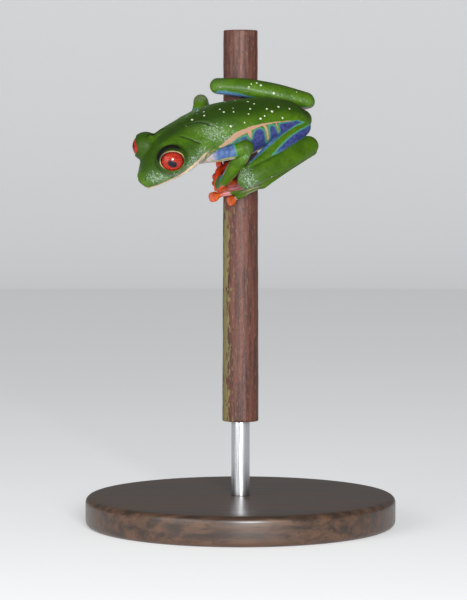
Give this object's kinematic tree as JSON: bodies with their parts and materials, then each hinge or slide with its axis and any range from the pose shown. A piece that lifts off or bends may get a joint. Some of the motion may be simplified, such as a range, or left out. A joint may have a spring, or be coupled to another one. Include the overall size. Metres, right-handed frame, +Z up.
{
  "type": "red-eyed tree frog model",
  "caption": "Life-size tree frog that clings to an upright cut plant stem, on a round display stand.",
  "frame": {"origin": "centre of the underside of the stand's base, on the axis of the stem", "axes": "+Z up along the stem, -Y towards the side from which the frog's back and left flank are seen, -X towards its head"},
  "size_m": [0.0834, 0.084, 0.1335],
  "materials": {
    "skin": "moist satin, green with blue, cream and orange areas",
    "eye": "wet gloss, red iris with a dark pupil",
    "stem": "dull bark with fine streaks",
    "stand_base": "dark satin lacquer",
    "stand_rod": "brushed"
  },
  "bodies": {
    "root": {"stand_base": "stand_base", "stand_rod": "stand_rod", "perch_stem": "stem", "trunk": "skin", "head": "skin", "lower_jaw": "skin", "eye_left": "eye", "eye_right": "eye", "finger_left_1": "skin", "finger_left_2": "skin", "finger_left_3": "skin", "finger_left_4": "skin", "finger_right_1": "skin", "finger_right_2": "skin", "finger_right_3": "skin", "finger_right_4": "skin", "foot_left": "skin", "foot_right": "skin", "forearm_left": "skin", "forearm_right": "skin", "hand_left": "skin", "hand_right": "skin", "shank_left": "skin", "shank_right": "skin", "tarsus_left": "skin", "tarsus_right": "skin", "thigh_left": "skin", "thigh_right": "skin", "toe_left_1": "skin", "toe_left_2": "skin", "toe_left_3": "skin", "toe_left_4": "skin", "toe_left_5": "skin", "toe_right_1": "skin", "toe_right_2": "skin", "toe_right_3": "skin", "toe_right_4": "skin", "toe_right_5": "skin", "upper_arm_left": "skin", "upper_arm_right": "skin"}
  },
  "joints": []
}
